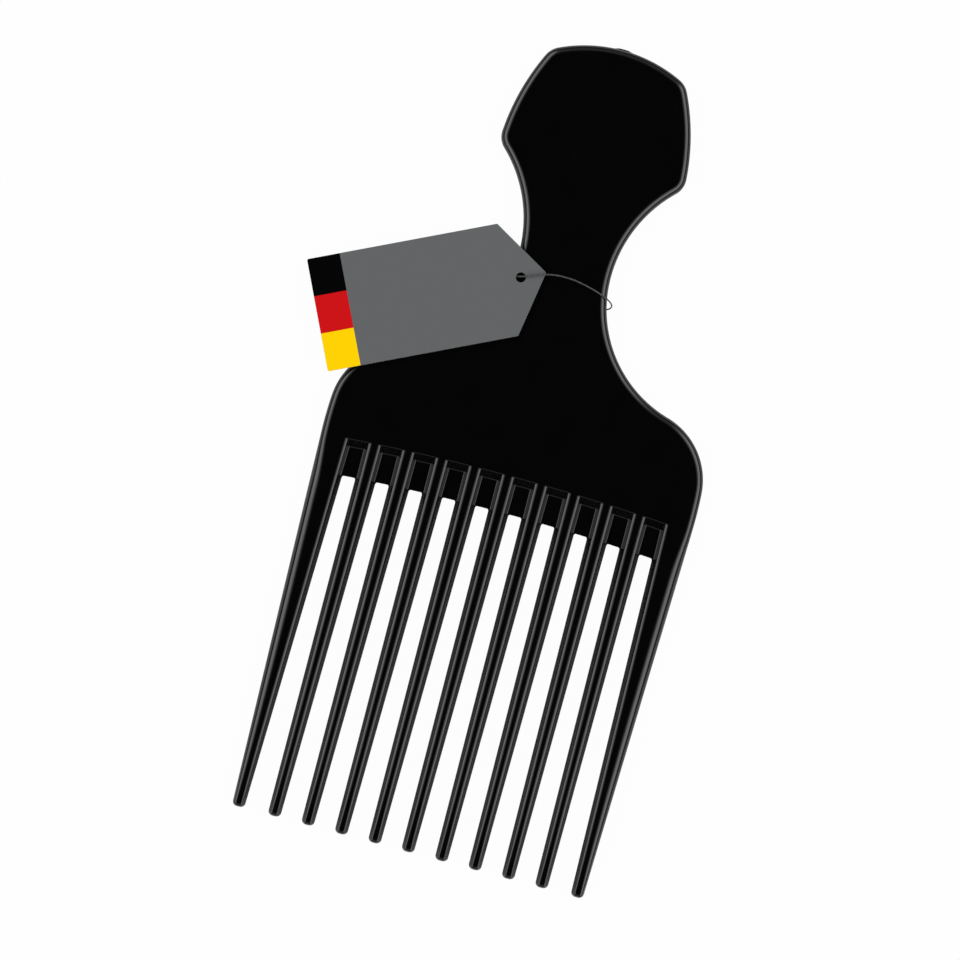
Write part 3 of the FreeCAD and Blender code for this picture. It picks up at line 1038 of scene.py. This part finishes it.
class AFROPICK_OT_thread(bpy.types.Operator):
    """Ties the thread round the neck and through the tag, with its wound knot"""

    bl_idname = "afro_pick.thread"
    bl_label = "Thread"

    def execute(self, context):
        sizes = settings("thread")
        material = twisted_thread()
        route = [Vector(point) * MM for point in THREAD_ROUTE]
        line = bpy.data.curves.new("tag_thread_line", "CURVE")
        line.dimensions = "3D"
        line.bevel_depth = sizes.diameter / 2
        line.bevel_resolution = 4
        line.resolution_u = 8
        line.use_fill_caps = True
        spline = line.splines.new("NURBS")
        spline.points.add(len(route) - 1)
        for point, place in zip(spline.points, route):
            point.co = (*place, 1.0)
        spline.order_u = 3
        spline.use_endpoint_u = True
        thread = link_piece("tag_thread_line", line, material)
        knot = self.knot(sizes, route[-1], route[0], material)
        for piece, node in ((thread, "tag_thread"), (knot, "thread_knot")):
            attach(piece, "comb")
            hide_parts(node)
        return {"FINISHED"}

    def knot(self, sizes, low, high, material):
        """A barrel with the wraps of the thread wound round it, between the two ends of the thread."""
        bm = bmesh.new()
        rows = []
        for step in range(KNOT_ROWS + 1):
            t = step / KNOT_ROWS
            swell = math.sin(math.pi * t)
            radius = lerp(sizes.knot_end, sizes.knot_diameter, swell) / 2
            row = []
            for side in range(KNOT_SIDES + 1):
                turn = math.tau * side / KNOT_SIDES
                groove = sizes.wrap_depth * swell * (0.5 + 0.5 * math.cos(math.tau * sizes.wraps * t - turn))
                spoke = Vector((math.cos(turn), math.sin(turn), 0)) * (radius - groove)
                row.append(low.lerp(high, t) + spoke)
            rows.append(row)
        add_grid(bm, rows)
        weld(bm)
        bmesh.ops.holes_fill(bm, edges=[e for e in bm.edges if e.is_boundary], sides=0)
        mesh = finished_mesh(bm, "thread_knot_wound")
        return link_piece("thread_knot_wound", mesh, material)


# Stage

FLOOR_RADIUS = 3.0
FLOOR_GAP = 0.02 * MM
FLOOR_SIDES = 64
FLOOR_GLOW_SEEN = 0.975
WHITE = (1.0, 1.0, 1.0, 1.0)

# Degrees up from the floor where the panels begin, are full, begin to fade and end. Degrees round from the left
# or right where they are full and where they end.
PANEL_ELEVATIONS = (14, 24, 42, 82)
PANEL_AZIMUTHS = (44, 68)


def show(tree, output, lit, seen, seen_share):
    """Ends a tree. The camera sees the second shader, by its share, and light meets the first."""
    camera_ray = add(tree, "ShaderNodeLightPath").outputs["Is Camera Ray"]
    factor = maths(tree, "MULTIPLY", camera_ray, seen_share)
    mix = add(tree, "ShaderNodeMixShader", {0: factor, 1: lit.outputs[0], 2: seen.outputs[0]})
    add(tree, output, {"Surface": mix.outputs["Shader"]})


def floor_material():
    """A pale floor. The picture shows it as white with a light shadow, and gloss sees its full shadow."""
    material = bpy.data.materials.new("pale_floor")
    tree = emptied_tree(material)
    matte = add(tree, "ShaderNodeBsdfDiffuse", {"Color": rgba(settings("finishes").floor)})
    glow = add(tree, "ShaderNodeEmission", {"Color": WHITE, "Strength": 1.0})
    show(tree, "ShaderNodeOutputMaterial", matte, glow, FLOOR_GLOW_SEEN)
    return material


def studio_world():
    """Soft panels to the left and right of the comb, dark straight above, and white to the camera."""
    stage = settings("stage")
    world = bpy.data.worlds.new("studio")
    tree = emptied_tree(world)
    way = separated(tree, add(tree, "ShaderNodeTexCoord").outputs["Generated"])
    low_start, low_end, high_start, high_end = (math.sin(math.radians(e)) for e in PANEL_ELEVATIONS)
    rising = ranged(tree, way["Z"], low_start, low_end, kind="SMOOTHSTEP")
    falling = ranged(tree, way["Z"], high_start, high_end, 1.0, 0.0, "SMOOTHSTEP")
    band = maths(tree, "MULTIPLY", rising, falling)
    level_way = {0: combined(tree, X=way["X"], Y=way["Y"])}
    level = add(tree, "ShaderNodeVectorMath", level_way, operation="LENGTH").outputs["Value"]
    aside = maths(tree, "ABSOLUTE", maths(tree, "DIVIDE", way["X"], level))
    near, far = (math.cos(math.radians(a)) for a in PANEL_AZIMUTHS)
    panel = ranged(tree, aside, far, near, stage.fill_light, stage.panel_light, "SMOOTHSTEP")
    light = maths(tree, "MULTIPLY", band, panel)
    lit = add(tree, "ShaderNodeBackground", {"Color": WHITE, "Strength": light})
    seen = add(tree, "ShaderNodeBackground", {"Color": WHITE, "Strength": 1.0})
    show(tree, "ShaderNodeOutputWorld", lit, seen, 1.0)
    return world


class AFROPICK_OT_stage(bpy.types.Operator):
    """Sets up the floor, the light and the camera"""

    bl_idname = "afro_pick.stage"
    bl_label = "Stage"

    def execute(self, context):
        stage = settings("stage")
        bm = bmesh.new()
        bmesh.ops.create_circle(bm, cap_ends=True, radius=FLOOR_RADIUS, segments=FLOOR_SIDES)
        bmesh.ops.translate(bm, verts=bm.verts[:], vec=(0, 0, -FLOOR_GAP))
        link_piece("floor", mesh_from(bm, "floor"), floor_material())
        scene = context.scene
        scene.world = studio_world()
        scene.view_settings.view_transform = "Standard"
        lens = bpy.data.cameras.new("camera")
        lens.lens = stage.lens
        camera = bpy.data.objects.new("camera", lens)
        scene.collection.objects.link(camera)
        distance = stage.lens * stage.frame_width / lens.sensor_width
        camera.location = (stage.aim_x, stage.aim_y, middle_z + distance)
        camera.rotation_euler = (0, 0, stage.roll)
        scene.camera = camera
        return {"FINISHED"}


class AFROPICK_PT_panel(bpy.types.Panel):
    """Lists the steps that build the afro pick"""

    bl_label = "Afro Pick"
    bl_idname = "AFROPICK_PT_panel"
    bl_space_type = "VIEW_3D"
    bl_region_type = "UI"
    bl_category = "Afro Pick"

    def draw(self, context):
        for operator in OPERATORS:
            self.layout.operator(operator.bl_idname)
        for name, group in GROUPS.items():
            box = self.layout.box()
            box.label(text=name.capitalize())
            for field in group.__annotations__:
                box.prop(settings(name), field)


GROUPS = {
    "blade": BladeSizes,
    "teeth": ToothSizes,
    "tag": TagSizes,
    "thread": ThreadSizes,
    "finishes": Finishes,
    "stage": StageSizes,
}
OPERATORS = (
    AFROPICK_OT_stage,
    AFROPICK_OT_thread,
    AFROPICK_OT_tooth_row,
    AFROPICK_OT_comb,
    AFROPICK_OT_swing_tag,
)
CLASSES = (*GROUPS.values(), *OPERATORS, AFROPICK_PT_panel)


def register():
    for kind in CLASSES:
        bpy.utils.register_class(kind)
    for name, group in GROUPS.items():
        setattr(bpy.types.Scene, "afro_pick_" + name, bpy.props.PointerProperty(type=group))


def unregister():
    for name in GROUPS:
        delattr(bpy.types.Scene, "afro_pick_" + name)
    for kind in reversed(CLASSES):
        bpy.utils.unregister_class(kind)


def main():
    register()
    bpy.ops.afro_pick.stage()
    bpy.ops.afro_pick.thread()
    bpy.ops.afro_pick.tooth_row()
    bpy.ops.afro_pick.comb()
    bpy.ops.afro_pick.swing_tag()


if __name__ == "__main__":
    main()
